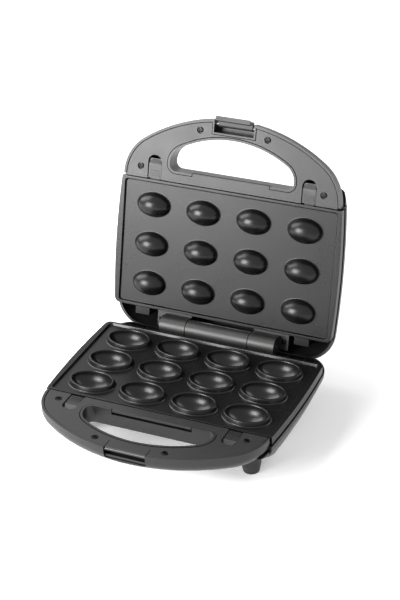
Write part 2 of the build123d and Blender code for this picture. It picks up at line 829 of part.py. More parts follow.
with BuildPart() as hinge_barrel:
    with BuildSketch(Plane.YZ.offset(-barrel_half)):
        with Locations((hinge_y, 0)):
            Circle(barrel_radius)
    extrude(amount=2 * barrel_half)
    add(barrel_foot.part)
    with BuildSketch(Plane.YZ.offset(-barrel_half)):
        with Locations((hinge_y, 0)):
            Circle(pin_radius)
    extrude(amount=2 * barrel_half, mode=Mode.SUBTRACT)
    with BuildSketch(Plane.XY.offset(body_depth - wall - 2 * pad_thickness)):
        with Locations((-barrel_screw_x, barrel_screw_y), (barrel_screw_x, barrel_screw_y)):
            RegularPolygon(screw_shank_radius, shank_sides)
    extrude(amount=pad_thickness, mode=Mode.SUBTRACT)
finish_base(hinge_barrel.part, "hinge_barrel")

# Hinge pin: steel rod pressed into the barrel, a running fit in both knuckles
with BuildPart() as hinge_pin:
    with BuildSketch(Plane.YZ.offset(pin_end_inset - knuckle_end)):
        with Locations((hinge_y, 0)):
            Circle(pin_radius)
    extrude(amount=2 * (knuckle_end - pin_end_inset))
finish_upright(hinge_pin.part, "hinge_pin")


# Hinge knuckles: moulded arms screwed into the lid, one each side of the barrel
def knuckle(side):
    near_x = barrel_half + knuckle_gap
    with BuildPart() as arm:
        with BuildSketch(Plane.YZ.offset(near_x)):
            with Locations((hinge_y, 0)):
                Circle(barrel_radius)
            with BuildLine():
                Polyline((hinge_y - barrel_radius, 0), (hinge_y, 0),
                         (hinge_y + arm_thickness / 3, pad_depth),
                         (pad_back_y, pad_depth), (pad_back_y, pad_depth + pad_thickness),
                         (pad_front_y, pad_depth + pad_thickness), (pad_front_y, pad_depth),
                         (hinge_y - barrel_radius, pad_depth), (hinge_y - barrel_radius, 0))
            make_face()
        extrude(amount=knuckle_end - near_x)
        with BuildSketch(Plane.XY.offset(pad_depth)):
            with Locations(((near_x + pad_end) / 2, (pad_front_y + pad_back_y) / 2)):
                Rectangle(pad_end - near_x, pad_back_y - pad_front_y)
        extrude(amount=pad_thickness)
        with BuildSketch(Plane.YZ.offset(near_x)):
            with Locations((hinge_y, 0)):
                Circle(pin_radius + pin_clearance)
        extrude(amount=knuckle_end - near_x, mode=Mode.SUBTRACT)
        with BuildSketch(Plane.XY.offset(pad_depth)):
            with Locations((pad_screw_x, pad_screw_y)):
                RegularPolygon(screw_shank_radius, shank_sides)
        extrude(amount=pad_thickness, mode=Mode.SUBTRACT)
    if side < 0:
        return mirror(arm.part, about=Plane.YZ)
    return arm.part


finish_lid(knuckle(-1), "hinge_knuckle_left")
finish_lid(knuckle(1), "hinge_knuckle_right")

# Screws of the hinge pieces
finish_lid(screws([(-pad_screw_x, pad_screw_y), (pad_screw_x, pad_screw_y)],
                  pad_depth, screw_length), "knuckle_screws")
finish_base(screws([(-barrel_screw_x, barrel_screw_y), (barrel_screw_x, barrel_screw_y)],
                   body_depth - wall - 2 * pad_thickness, 2 * pad_thickness - 1.0),
            "barrel_screws")

# Latch: a moulded clip on a steel pin in the nose of the lid, hooked to go under the base tongue
tongue_under = panel_top + tongue_thickness
hook_top = -(tongue_under + latch_clearance)
hook_bottom = hook_top - latch_skin
skin_back_y = tongue_front_y - latch_clearance
skin_front_y = skin_back_y - latch_skin
with BuildPart() as latch:
    with BuildSketch(Plane.YZ.offset(-latch_half)):
        with BuildLine():
            Polyline((latch_pivot_y, latch_pivot_depth - latch_barrel_radius),
                     (skin_back_y, latch_pivot_depth - latch_barrel_radius), (skin_back_y, hook_top),
                     (tongue_front_y + latch_bite, hook_top),
                     (tongue_front_y + latch_bite / 2, hook_bottom),
                     (skin_front_y - latch_skin / 2, hook_bottom),
                     (skin_front_y, hook_top),
                     (skin_front_y, latch_pivot_depth),
                     (latch_pivot_y, latch_pivot_depth + latch_barrel_radius),
                     (latch_pivot_y, latch_pivot_depth - latch_barrel_radius))
        make_face()
        with Locations((latch_pivot_y, latch_pivot_depth)):
            Circle(latch_barrel_radius)
        with Locations((latch_pivot_y, latch_pivot_depth)):
            Circle(latch_pin_radius + latch_pin_clearance, mode=Mode.SUBTRACT)
    extrude(amount=2 * latch_half)
latch_parking = (Location((0, latch_pivot_y, latch_pivot_depth))
                 * Location((0, 0, 0), (-latch_parked_angle, 0, 0))
                 * Location((0, -latch_pivot_y, -latch_pivot_depth)))
finish_lid(latch_parking * latch.part, "latch")

with BuildPart() as latch_pin:
    with BuildSketch(Plane.YZ.offset(-latch_pocket_half - latch_pocket_wall)):
        with Locations((latch_pivot_y, latch_pivot_depth)):
            Circle(latch_pin_radius)
    extrude(amount=2 * (latch_pocket_half + latch_pocket_wall))
finish_lid(latch_pin.part, "latch_pin")


# Reflector trays: folded sheet under each heater
def reflector_face(inset):
    with BuildSketch() as face:
        with Locations((0, (reflector_front_y + reflector_back_y) / 2)):
            Rectangle(2 * (reflector_half - inset), reflector_back_y - reflector_front_y - 2 * inset)
        chamfer(face.vertices(), reflector_corner - inset)
    return face.sketch


def reflector():
    with BuildPart() as tray:
        with BuildSketch(Plane.XY.offset(reflector_rim_depth)):
            add(reflector_face(0))
        extrude(amount=reflector_floor_depth - reflector_rim_depth)
        with BuildSketch(Plane.XY.offset(reflector_rim_depth)):
            add(reflector_face(reflector_sheet))
        extrude(amount=reflector_floor_depth - reflector_rim_depth - reflector_sheet,
                mode=Mode.SUBTRACT)
    return tray.part


reflector_form = reflector()
finish_lid(reflector_form, "lid_reflector")
finish_base(reflector_form, "base_reflector")


# Tubular heaters: one U between the rows of shapes, its ends turned down to the terminals
def heater():
    leg_y = row_pitch / 2
    bend_x = leg_y - heater_half_x
    bend = [(bend_x - leg_y * sin(pi * step / 6), -leg_y * cos(pi * step / 6)) for step in range(7)]
    with BuildPart() as tube:
        with BuildLine(Plane.XY.offset(heater_depth)) as path:
            Polyline((heater_half_x, -leg_y), *bend, (heater_half_x, leg_y))
        with BuildSketch(Plane.YZ.offset(heater_half_x)):
            with Locations((-leg_y, heater_depth)):
                RegularPolygon(heater_radius, small_sides)
        sweep(path=path.wire(), transition=Transition.RIGHT)
    return tube.part


heater_form = heater()
finish_lid(heater_form, "lid_heater")
finish_base(heater_form, "base_heater")


# Sheet brackets that hold each heater up to its plate
def heater_brackets():
    leg_y = row_pitch / 2
    with BuildPart() as brackets:
        with BuildSketch(Plane.XY.offset(heater_depth + heater_radius)):
            with GridLocations(2 * column_pitch, 2 * leg_y, 2, 2):
                Rectangle(2 * heater_radius, 2 * heater_radius)
        extrude(amount=reflector_floor_depth - reflector_sheet - heater_depth - heater_radius)
    return brackets.part


bracket_form = heater_brackets()
finish_lid(bracket_form, "lid_heater_brackets")
finish_base(bracket_form, "base_heater_brackets")

# Electrical pieces on the underside of the base reflector
with BuildPart() as thermostat:
    with BuildSketch(Plane.XY.offset(reflector_floor_depth)):
        RegularPolygon(thermostat_radius, seen_sides)
    extrude(amount=thermostat_height)
    with BuildSketch(Plane.XY.offset(reflector_floor_depth)):
        Rectangle(3 * thermostat_radius, thermostat_radius)
    extrude(amount=reflector_sheet)
finish_base(thermostat.part, "thermostat")

with BuildPart() as thermal_fuse:
    with BuildSketch(Plane.YZ.offset(fuse_x)):
        with Locations((0, reflector_floor_depth + fuse_radius)):
            RegularPolygon(fuse_radius, small_sides)
    extrude(amount=fuse_length)
finish_base(thermal_fuse.part, "thermal_fuse")

with BuildPart() as terminal_block:
    block_x, block_y, block_z = terminal_size
    with BuildSketch(Plane.XY.offset(body_depth - wall - block_z)):
        with Locations((terminal_x, terminal_y)):
            Rectangle(block_x, block_y)
    extrude(amount=block_z)
    with BuildSketch(Plane.XY.offset(body_depth - wall - block_z)):
        with Locations((terminal_x, terminal_y)):
            with GridLocations(block_x / 3, 0, 3, 1):
                RegularPolygon(screw_shank_radius, shank_sides)
    extrude(amount=block_z / 2, mode=Mode.SUBTRACT)
finish_base(terminal_block.part, "terminal_block")

# Cord inlet: a moulded bush through the back of the base
with BuildPart() as cord_gland:
    with BuildSketch(Plane.XZ.offset(-back_y + gland_length - gland_flange_thickness)):
        with Locations((gland_x, gland_depth)):
            RegularPolygon(gland_sleeve, seen_sides)
    extrude(amount=gland_flange_thickness - gland_length)
    with BuildSketch(Plane.XZ.offset(-back_y)):
        with Locations((gland_x, gland_depth)):
            RegularPolygon(gland_flange, seen_sides)
    extrude(amount=-gland_flange_thickness)
    with BuildSketch(Plane.XZ.offset(-back_y)):
        with Locations((gland_x, gland_depth)):
            Circle(gland_bore)
    extrude(amount=gland_length, both=True, mode=Mode.SUBTRACT)
finish_base(cord_gland.part, "cord_gland")

# Indicator lenses in the outer face of the lid
for side, word in ((-1, "power"), (1, "ready")):
    with BuildPart() as lens:
        with BuildSketch(Plane.XY.offset(body_depth + lamp_proud - lamp_length)):
            with Locations((side * lamp_x, lamp_y)):
                RegularPolygon(lamp_radius, seen_sides)
        extrude(amount=lamp_length)
        chamfer(lens.faces().sort_by(Axis.Z)[-1].outer_wire().edges(), lamp_proud)
    finish_lid(lens.part, word + "_lamp_lens")

# Rubber feet pressed into the legs of the base
with BuildPart() as feet:
    with BuildSketch(Plane.XY.offset(foot_height - foot_thickness)):
        with Locations(*foot_places()):
            RegularPolygon(foot_radius, seen_sides)
    extrude(amount=foot_thickness, taper=foot_taper)
    with BuildSketch(Plane.XY.offset(foot_height - foot_thickness - foot_spigot)):
        with Locations(*foot_places()):
            RegularPolygon(foot_spigot_radius, small_sides)
    extrude(amount=foot_spigot)
finish_base(feet.part, "rubber_feet")

print("standing place", standing_place.position)
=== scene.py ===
from math import cos, pi, radians, sin, sqrt

import bmesh
import bpy
from mathutils import Matrix, Vector


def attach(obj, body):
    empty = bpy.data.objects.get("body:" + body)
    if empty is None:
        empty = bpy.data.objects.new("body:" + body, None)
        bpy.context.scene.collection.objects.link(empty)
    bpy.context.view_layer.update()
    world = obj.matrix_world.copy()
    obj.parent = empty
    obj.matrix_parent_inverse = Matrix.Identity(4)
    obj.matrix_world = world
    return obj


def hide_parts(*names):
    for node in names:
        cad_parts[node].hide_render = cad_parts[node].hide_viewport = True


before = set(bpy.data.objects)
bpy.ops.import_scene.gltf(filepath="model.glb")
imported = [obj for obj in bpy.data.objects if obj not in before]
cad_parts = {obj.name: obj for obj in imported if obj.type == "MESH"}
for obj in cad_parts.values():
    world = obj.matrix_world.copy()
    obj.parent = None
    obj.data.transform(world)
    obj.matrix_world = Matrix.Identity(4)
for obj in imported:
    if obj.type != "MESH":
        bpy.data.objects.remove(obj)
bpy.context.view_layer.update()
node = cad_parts
bpy.ops.object.select_all(action="DESELECT")

# Camera: a long lens about 1.6 m from the snack maker, a little to its right and above it.
# The photographer held it turned by about two degrees, so the uprights lean.
camera_azimuth = radians(25.04)
camera_elevation = radians(30.21)
camera_roll = radians(-2.24)
camera_place = (0.58485, -1.22021, 0.91336)
turn = Matrix.Rotation(camera_azimuth, 4, "Z") @ Matrix.Rotation(pi / 2 - camera_elevation, 4, "X")
turn = turn @ Matrix.Rotation(camera_roll, 4, "Z")
bpy.ops.object.camera_add(location=camera_place, rotation=turn.to_euler())
camera = bpy.context.object
camera.data.sensor_fit = "VERTICAL"
camera.data.sensor_height = 36.0
camera.data.lens = 102.86
bpy.context.scene.camera = camera
bpy.context.scene.view_settings.view_transform = "Standard"

# Floor and light: a white sweep of paper, a tall soft box in front to the left, which the upper
# plate and the domes mirror, and two boxes high up at the left and behind at the right, for the cups.
# Away from the snack maker the paper gives off more of its own white, so it meets the background.
floor_size = 8.0
shadow_reach = 0.5
white_from = 1.6


def linear(hex_code):
    """An sRGB colour such as "808080" as linear red, green, blue and alpha."""
    values = [int(hex_code[i:i + 2], 16) / 255 for i in (0, 2, 4)]
    values = [v / 12.92 if v <= 0.04045 else ((v + 0.055) / 1.055) ** 2.4 for v in values]
    return (*values, 1.0)


def add_node(tree, kind, settings=None, **links):
    """Adds a shader node, sets its properties and joins its sockets to values or other outputs."""
    made = tree.nodes.new(kind)
    for name, value in (settings or {}).items():
        setattr(made, name, value)
    for name, value in links.items():
        socket = made.inputs[int(name[1:])] if name[1:].isdigit() else made.inputs[name.replace("_", " ")]
        if isinstance(value, bpy.types.NodeSocket):
            tree.links.new(value, socket)
        else:
            socket.default_value = value
    return made


def new_material(name):
    """An empty material, its node tree and its output."""
    material = bpy.data.materials.new(name)
    material.use_nodes = True
    tree = material.node_tree
    tree.nodes.clear()
    return material, tree, tree.nodes.new("ShaderNodeOutputMaterial")


def background_rays(tree):
    """1 for rays that show the background: from the camera, off gloss and through glass."""
    path = add_node(tree, "ShaderNodeLightPath")
    direct = add_node(tree, "ShaderNodeMath", {"operation": "MAXIMUM"}, i0=path.outputs["Is Camera Ray"],
                      i1=path.outputs["Is Glossy Ray"])
    shown = add_node(tree, "ShaderNodeMath", {"operation": "MAXIMUM"}, i0=direct.outputs[0],
                     i1=path.outputs["Is Transmission Ray"])
    return shown.outputs[0]


bpy.ops.mesh.primitive_plane_add(size=floor_size)
floor = bpy.context.object
floor.name = "paper_floor"
paper, tree, out = new_material("matte_paper")
sheet = add_node(tree, "ShaderNodeBsdfDiffuse", Color=linear("f8f8f8"))
place = add_node(tree, "ShaderNodeTexCoord").outputs["Object"]
away = add_node(tree, "ShaderNodeVectorMath", {"operation": "LENGTH"}, i0=place)
fade = add_node(tree, "ShaderNodeMapRange", i0=away.outputs["Value"], i1=shadow_reach, i2=white_from,
                i3=0.3, i4=1.0)
lift = add_node(tree, "ShaderNodeEmission", Color=linear("ffffff"), Strength=fade.outputs[0])
lifted = add_node(tree, "ShaderNodeAddShader", i0=sheet.outputs[0], i1=lift.outputs[0])
either = add_node(tree, "ShaderNodeMixShader", i0=background_rays(tree), i1=sheet.outputs[0],
                  i2=lifted.outputs[0])
tree.links.new(either.outputs[0], out.inputs["Surface"])
floor.data.materials.append(paper)

world = bpy.data.worlds.new("studio")
bpy.context.scene.world = world
world.use_nodes = True
tree = world.node_tree
tree.nodes.clear()
out = tree.nodes.new("ShaderNodeOutputWorld")
seen = add_node(tree, "ShaderNodeBackground", Color=linear("ffffff"), Strength=1.0)
filled = add_node(tree, "ShaderNodeBackground", Color=linear("ffffff"), Strength=0.3)
either = add_node(tree, "ShaderNodeMixShader", i0=background_rays(tree), i1=filled.outputs[0],
                  i2=seen.outputs[0])
tree.links.new(either.outputs[0], out.inputs["Surface"])


def soft_box(name, place, aim, width, height, watts):
    """A rectangular studio lamp turned towards a point."""
    bpy.ops.object.light_add(type="AREA", location=place)
    lamp = bpy.context.object
    lamp.name = name
    lamp.data.shape = "RECTANGLE"
    lamp.data.size = width
    lamp.data.size_y = height
    lamp.data.energy = watts
    lamp.rotation_euler = (Vector(aim) - Vector(place)).to_track_quat("-Z", "Y").to_euler()


soft_box("back_left_box", (-1.3, 0.2, 1.2), (0, 0, 0), 1.35, 1.35, 33)
soft_box("front_left_box", (-0.9, -1.42, 0.67), (0, 0, 0.1), 0.8, 1.05, 56)
soft_box("back_right_box", (1.0, 0.95, 1.1), (0, 0, 0.1), 0.8, 0.9, 10)

# Housings: the outer shells of the base and of the lid, with the wall round each finger hole.
# Injection-moulded ABS; every edge keeps the small radius of the mould.
# Each half is drawn in the plane of its face, x to the right, y to the back and z out of the face.
mm = 0.001
edge_angle = radians(35)
standing_y = -6.26917
face_height = 48.0
hinge_y = 77.6
lid_opening = 104.3
base_place = Matrix.Translation((0, standing_y * mm, face_height * mm))
lid_place = (Matrix.Translation((0, (hinge_y + standing_y) * mm, face_height * mm))
             @ Matrix.Rotation(radians(-lid_opening), 4, "X") @ Matrix.Translation((0, -hinge_y * mm, 0))
             @ Matrix.Scale(-1, 4, (0, 0, 1)))


def apply_modifier(piece, kind, **settings):
    """Adds a modifier to a piece, sets it and applies it."""
    bpy.ops.object.select_all(action="DESELECT")
    bpy.context.view_layer.objects.active = piece
    piece.select_set(True)
    made = piece.modifiers.new(kind.lower(), kind)
    for name, value in settings.items():
        setattr(made, name, value)
    bpy.ops.object.modifier_apply(modifier=made.name)


def soften_edges(piece, width, steps=2):
    """Rounds the sharp edges of a piece and shades it smooth between them."""
    apply_modifier(piece, "BEVEL", width=width, segments=steps, limit_method="ANGLE", angle_limit=edge_angle)
    bpy.ops.object.shade_smooth_by_angle(angle=edge_angle)


def merged_copy(packed_name, name):
    """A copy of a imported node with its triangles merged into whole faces."""
    copy = bpy.data.objects.new(name, node[packed_name].data.copy())
    bpy.context.collection.objects.link(copy)
    bpy.ops.object.select_all(action="DESELECT")
    bpy.context.view_layer.objects.active = copy
    copy.select_set(True)
    bpy.ops.object.mode_set(mode="EDIT")
    bpy.ops.mesh.select_all(action="SELECT")
    bpy.ops.mesh.remove_doubles(threshold=0.002 * mm)
    bpy.ops.mesh.dissolve_limited(angle_limit=radians(0.6))
    bpy.ops.object.mode_set(mode="OBJECT")
    return copy


def finished(piece, material, body, slot_name, *packed_names):
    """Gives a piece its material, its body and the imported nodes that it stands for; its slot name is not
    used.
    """
    piece.data.materials.clear()
    piece.data.materials.append(material)
    apply_modifier(piece, "WEIGHTED_NORMAL", keep_sharp=True)
    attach(piece, body)
    if packed_names:
        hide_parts(*packed_names)


def moulded_plastic(name, deep, pale, grain_mm, grain_height_mm, roughness, ior):
    """Injection-moulded plastic: grain of the mould's skin, and a gloss that varies a little over it."""
    material, tree, out = new_material(name)
    place = add_node(tree, "ShaderNodeTexCoord").outputs["Object"]
    grain = add_node(tree, "ShaderNodeTexNoise", Vector=place, Scale=1 / (grain_mm * mm), Detail=2.0)
    relief = add_node(tree, "ShaderNodeBump", Height=grain.outputs["Fac"], Distance=grain_height_mm * mm,
                      Strength=1.0)
    handling = add_node(tree, "ShaderNodeTexNoise", Vector=place, Scale=1 / (28 * mm), Detail=3.0)
    gloss = add_node(tree, "ShaderNodeMapRange", i0=handling.outputs["Fac"], i1=0.3, i2=0.7,
                     i3=roughness - 0.035, i4=roughness + 0.035)
    tint = add_node(tree, "ShaderNodeMix", {"data_type": "RGBA"}, i0=grain.outputs["Fac"], i6=linear(deep),
                    i7=linear(pale))
    shader = add_node(tree, "ShaderNodeBsdfPrincipled", Base_Color=tint.outputs[2], IOR=ior,
                      Roughness=gloss.outputs[0], Normal=relief.outputs[0])
    tree.links.new(shader.outputs[0], out.inputs["Surface"])
    return material


# Black ABS from a spark-eroded mould: satin, broad soft highlights on the rounded walls.
# The skin's grain is about 0.15 mm and is drawn at 0.9 mm so that it shows.
housing_plastic = moulded_plastic("spark_textured_black_abs", "161515", "1c1b1b", 0.9, 0.012, 0.38, 1.5)
for half in ("base", "lid"):
    shell = merged_copy(half + "_housing", half + "_shell")
    soften_edges(shell, 0.4 * mm)
    finished(shell, housing_plastic, half, "housing_plastic", half + "_housing")

# Handle panels: flat D-shaped covers screwed over the handle of each half, with the finger hole,
# two key slots and, in the base, the tongue that the latch grips. Black ABS, finely grained.
panel_top = 0.7
screw_places = [(-93.6, -76.0), (-34.2, -119.4), (34.2, -119.4), (93.6, -76.0)]
recess_radius = 3.5
recess_depth = 1.3


def combined(piece, other, operation):
    """Adds another form to a piece, or takes it out, and removes the other form."""
    apply_modifier(piece, "BOOLEAN", operation=operation, object=other, solver="EXACT")
    bpy.data.objects.remove(other)


def copies_at(pattern, places):
    """Copies of a form, each with its own mesh, moved to places given in millimetres."""
    made = []
    for place in places:
        copy = bpy.data.objects.new(pattern.name, pattern.data.copy())
        copy.data.transform(Matrix.Translation(Vector((*place, 0)[:3]) * mm))
        bpy.context.collection.objects.link(copy)
        made.append(copy)
    bpy.data.objects.remove(pattern)
    return made


def joined(pieces, name):
    """One piece made of several."""
    bpy.ops.object.select_all(action="DESELECT")
    for piece in pieces:
        piece.select_set(True)
    bpy.context.view_layer.objects.active = pieces[0]
    if len(pieces) > 1:
        bpy.ops.object.join()
    pieces[0].name = name
    return pieces[0]


def placed(piece, place):
    """Moves a form from the plane of its half's face to its half, right side out."""
    piece.data.transform(place)
    if place.determinant() < 0:
        piece.data.flip_normals()
    return piece


# Black ABS with a finer, drier skin than the housing's, so it mirrors the soft box as an even grey.
# Its grain is about 0.1 mm and is drawn at 0.7 mm so that it shows.
panel_plastic = moulded_plastic("fine_grained_black_abs", "1e1d1d", "262524", 0.7, 0.014, 0.36, 1.46)
for half, place in (("base", base_place), ("lid", lid_place)):
    cover = merged_copy(half + "_handle_panel", half + "_panel_cover")
    bpy.ops.mesh.primitive_cylinder_add(vertices=32, radius=recess_radius * mm, depth=2 * recess_depth * mm)
    recess = bpy.context.object
    recesses = copies_at(recess, [(x, y, -panel_top) for x, y in screw_places])
    combined(cover, placed(joined(recesses, "screw_recesses"), place), "DIFFERENCE")
    soften_edges(cover, 0.25 * mm)
    finished(cover, panel_plastic, half, "panel_plastic", half + "_handle_panel")

# Cooking plates: two aluminium die castings with a rim, a shallow tray, a skirt and tabs at the
# back. The upper one carries 12 domes, the lower one 12 cups with raised collars.
plate_side = 115.4
plate_bow = 850.0
plate_bow_y = 5.0
rows = 24
plate_end = 64.3
back_corner = 5.5
plate_top = -0.2
skirt_bottom = -7.4
tray_half = (110.0, 62.4)
tray_floor = -2.5
tray_draw_in = 1.6
underside_half = (111.0, 61.9)
floor_under = -4.9
inner_corner = 3.0
past = 1.0
tab_size = (12.0, 7.2, 2.2)
tab_places = [(x, 65.9, -6.1) for x in (-83.7, 83.7)]
shape_places = [((column - 1.5) * 52.0, (row - 1) * 39.5) for row in range(3) for column in range(4)]


def select_where(piece, kind, test):
    """In edit mode, selects the corners or the edges whose middle passes a test."""
    bpy.ops.mesh.select_mode(type=kind)
    bpy.ops.mesh.select_all(action="DESELECT")
    mesh = bmesh.from_edit_mesh(piece.data)
    for part in mesh.verts if kind == "VERT" else mesh.edges:
        middle = part.co if kind == "VERT" else (part.verts[0].co + part.verts[1].co) / 2
        if test(middle):
            part.select_set(True)
    mesh.select_flush_mode()
    bmesh.update_edit_mesh(piece.data)


def rounded_block(half_x, half_y, top, bottom, corner, draw_in=0.0):
    """A block with rounded upright edges, drawn in at its bottom."""
    bpy.ops.mesh.primitive_cube_add(size=2)
    block = bpy.context.object
    bpy.ops.object.mode_set(mode="EDIT")
    bpy.ops.transform.resize(value=(half_x * mm, half_y * mm, (top - bottom) / 2 * mm))
    bpy.ops.transform.translate(value=(0, 0, (top + bottom) / 2 * mm))
    select_where(block, "EDGE", lambda m: abs(m.z - (top + bottom) / 2 * mm) < (top - bottom) / 9 * mm)
    bpy.ops.mesh.bevel(offset=corner * mm, segments=6)
    if draw_in:
        select_where(block, "VERT", lambda m: m.z < (top + bottom) / 2 * mm)
        bpy.ops.transform.resize(value=(1 - draw_in / half_x, 1 - draw_in / half_y, 1),
                                 center_override=(0, 0, bottom * mm))
    bpy.ops.object.mode_set(mode="OBJECT")
    return block


def plate_casting(name):
    """A plate before its shapes: bowed sides, rim, tray, and a skirt round its hollow underside."""
    bpy.ops.mesh.primitive_grid_add(x_subdivisions=1, y_subdivisions=rows, size=2)
    plate = bpy.context.object
    plate.name = name
    bpy.ops.object.mode_set(mode="EDIT")
    bpy.ops.transform.resize(value=(1, plate_end * mm, 1))
    for row in range(rows + 1):
        y = (2 * row / rows - 1) * plate_end
        half = plate_side - plate_bow + sqrt(plate_bow ** 2 - (y - plate_bow_y) ** 2)
        select_where(plate, "VERT", lambda m: abs(m.y - y * mm) < 0.1 * mm)
        bpy.ops.transform.resize(value=(half * mm, 1, 1), center_override=(0, 0, 0))
    select_where(plate, "VERT", lambda m: m.y > (plate_end - 0.1) * mm)
    bpy.ops.mesh.bevel(affect="VERTICES", offset=back_corner * mm, segments=7)
    bpy.ops.mesh.select_all(action="SELECT")
    bpy.ops.transform.translate(value=(0, 0, plate_top * mm))
    down = (0, 0, (skirt_bottom - plate_top) * mm)
    bpy.ops.mesh.extrude_region_move(TRANSFORM_OT_translate={"value": down})
    bpy.ops.mesh.select_all(action="SELECT")
    bpy.ops.mesh.normals_make_consistent(inside=False)
    bpy.ops.object.mode_set(mode="OBJECT")
    tray = rounded_block(*tray_half, past, tray_floor, inner_corner, tray_draw_in)
    combined(plate, tray, "DIFFERENCE")
    underside = rounded_block(*underside_half, floor_under, skirt_bottom - past, inner_corner)
    combined(plate, underside, "DIFFERENCE")
    soften_edges(plate, 0.5 * mm)
    return plate


def ring_form(name, rings, sides=72):
    """A closed form grown from one oval ring to the next: half length, half width, height."""
    half_x, half_y, height = rings[0]
    bpy.ops.mesh.primitive_circle_add(vertices=sides, radius=mm, fill_type="NOTHING")
    form = bpy.context.object
    form.name = name
    bpy.ops.object.mode_set(mode="EDIT")
    bpy.ops.transform.resize(value=(half_x, half_y, 1))
    bpy.ops.transform.translate(value=(0, 0, height * mm))
    for new_x, new_y, new_height in rings[1:]:
        rise = (0, 0, (new_height - height) * mm)
        bpy.ops.mesh.extrude_edges_move(TRANSFORM_OT_translate={"value": rise})
        bpy.ops.transform.resize(value=(new_x / half_x, new_y / half_y, 1), center_override=(0, 0, 0))
        half_x, half_y, height = new_x, new_y, new_height
    bpy.ops.mesh.merge(type="CENTER")
    close_and_smooth(edge_angle)
    return form


def close_and_smooth(angle):
    """Closes the open ends of the form in edit mode, turns it right side out and shades it smooth."""
    bpy.ops.mesh.select_all(action="SELECT")
    bpy.ops.mesh.fill_holes(sides=0)
    bpy.ops.mesh.select_all(action="SELECT")
    bpy.ops.mesh.normals_make_consistent(inside=False)
    bpy.ops.object.mode_set(mode="OBJECT")
    bpy.ops.object.shade_smooth_by_angle(angle=angle)


def shell_rings(half_x, half_y, height, direction, steps=20, start=0):
    """Rings of half a nutshell, from its mouth towards its end."""
    bends = [radians(90) * step / (steps + 0.5) for step in range(start, steps + 1)]
    return [(half_x * cos(b), half_y * cos(b), height + direction * half_y * sin(b)) for b in bends]


def back_tabs():
    """Two tabs at the back of a plate, which go under the catches."""
    bpy.ops.mesh.primitive_cube_add(size=mm)
    tab = bpy.context.object
    tab.data.transform(Matrix.Diagonal((*tab_size, 1)))
    return copies_at(tab, tab_places)


# Non-stick coating (PTFE) sprayed and baked on cast aluminium: almost black, semi-gloss, with a
# faint orange peel. Its ripple is about 0.5 mm and is drawn at 1.3 mm so that it shows.
coated_aluminium, tree, out = new_material("baked_ptfe_on_cast_aluminium")
place = add_node(tree, "ShaderNodeTexCoord").outputs["Object"]
peel = add_node(tree, "ShaderNodeTexNoise", Vector=place, Scale=1 / (1.3 * mm), Detail=1.5)
relief = add_node(tree, "ShaderNodeBump", Height=peel.outputs["Fac"], Distance=0.003 * mm, Strength=1.0)
bake = add_node(tree, "ShaderNodeTexNoise", Vector=place, Scale=1 / (35 * mm), Detail=3.0)
gloss = add_node(tree, "ShaderNodeMapRange", i0=bake.outputs["Fac"], i1=0.3, i2=0.7, i3=0.26, i4=0.31)
tint = add_node(tree, "ShaderNodeMix", {"data_type": "RGBA"}, i0=peel.outputs["Fac"], i6=linear("0c0c0c"),
                i7=linear("141313"))
shader = add_node(tree, "ShaderNodeBsdfPrincipled", Base_Color=tint.outputs[2], IOR=1.38,
                  Roughness=gloss.outputs[0], Normal=relief.outputs[0])
tree.links.new(shader.outputs[0], out.inputs["Surface"])

# A cup's collar grows from a fillet on the tray to a rounded lip. The cup goes down inside it, and
# its back hangs below the tray.
collar_x, collar_y = 24.0, 17.5
collar_fillet = 1.3
collar_root = -3.4
lip_x, lip_y = 21.0, 14.5
lip_radius = 0.9
collar_top = 2.1
back_x, back_y = 22.0, 15.5
cup_x, cup_y = 19.7, 13.2
cup_mouth = [(20.7, 14.2, collar_top + 0.5), (20.3, 13.8, collar_top), (19.95, 13.45, 1.85)]
quarter_bends = [radians(90) * step / 5 for step in range(6)]
foot_fillet = [(collar_x - collar_fillet * sin(b), collar_y - collar_fillet * sin(b),
                tray_floor + collar_fillet * (1 - cos(b))) for b in quarter_bends]
lip_round = [(lip_x + lip_radius * cos(b), lip_y + lip_radius * cos(b),
              collar_top - lip_radius + lip_radius * sin(b)) for b in quarter_bends]
cup_back = [ring for ring in reversed(shell_rings(back_x, back_y, collar_top, -1))
            if ring[2] < collar_root]
bowl = ring_form("bowl", cup_back + [(collar_x, collar_y, collar_root)] + foot_fillet + lip_round)
cup = ring_form("cup", cup_mouth + shell_rings(cup_x, cup_y, collar_top, -1, start=1))
lower = plate_casting("lower_cooking_plate")
combined(lower, joined(copies_at(bowl, shape_places) + back_tabs(), "bowls"), "UNION")
combined(lower, joined(copies_at(cup, shape_places), "cups"), "DIFFERENCE")
bpy.ops.object.shade_smooth_by_angle(angle=radians(38))
finished(placed(lower, base_place), coated_aluminium, "base", "coated_plate", "lower_plate")

# A dome rises from a fillet on the tray, and the casting is hollow under it.
dome_foot_x, dome_foot_y = 18.3, 12.8
dome_fillet = 1.2
dome_root = -3.6
dome_x, dome_y = 17.0, 11.5
hollow_x, hollow_y = 14.7, 9.2
hollow_root = -6.0
dome_bends = [radians(80) * step / 4 for step in range(5)]
dome_foot = [(dome_foot_x - dome_fillet * sin(b), dome_foot_y - dome_fillet * sin(b),
              tray_floor + dome_fillet * (1 - cos(b))) for b in dome_bends]
dome = ring_form("dome", [(dome_foot_x, dome_foot_y, dome_root)] + dome_foot
                 + shell_rings(dome_x, dome_y, tray_floor, 1, start=2))
hollow = ring_form("dome_hollow", [(hollow_x, hollow_y, hollow_root)]
                   + shell_rings(hollow_x, hollow_y, tray_floor, 1, steps=12))
upper = plate_casting("upper_cooking_plate")
combined(upper, joined(copies_at(dome, shape_places) + back_tabs(), "domes"), "UNION")
combined(upper, joined(copies_at(hollow, shape_places), "dome_hollows"), "DIFFERENCE")
bpy.ops.object.shade_smooth_by_angle(angle=radians(38))
finished(placed(upper, lid_place), coated_aluminium, "lid", "coated_plate", "upper_plate")

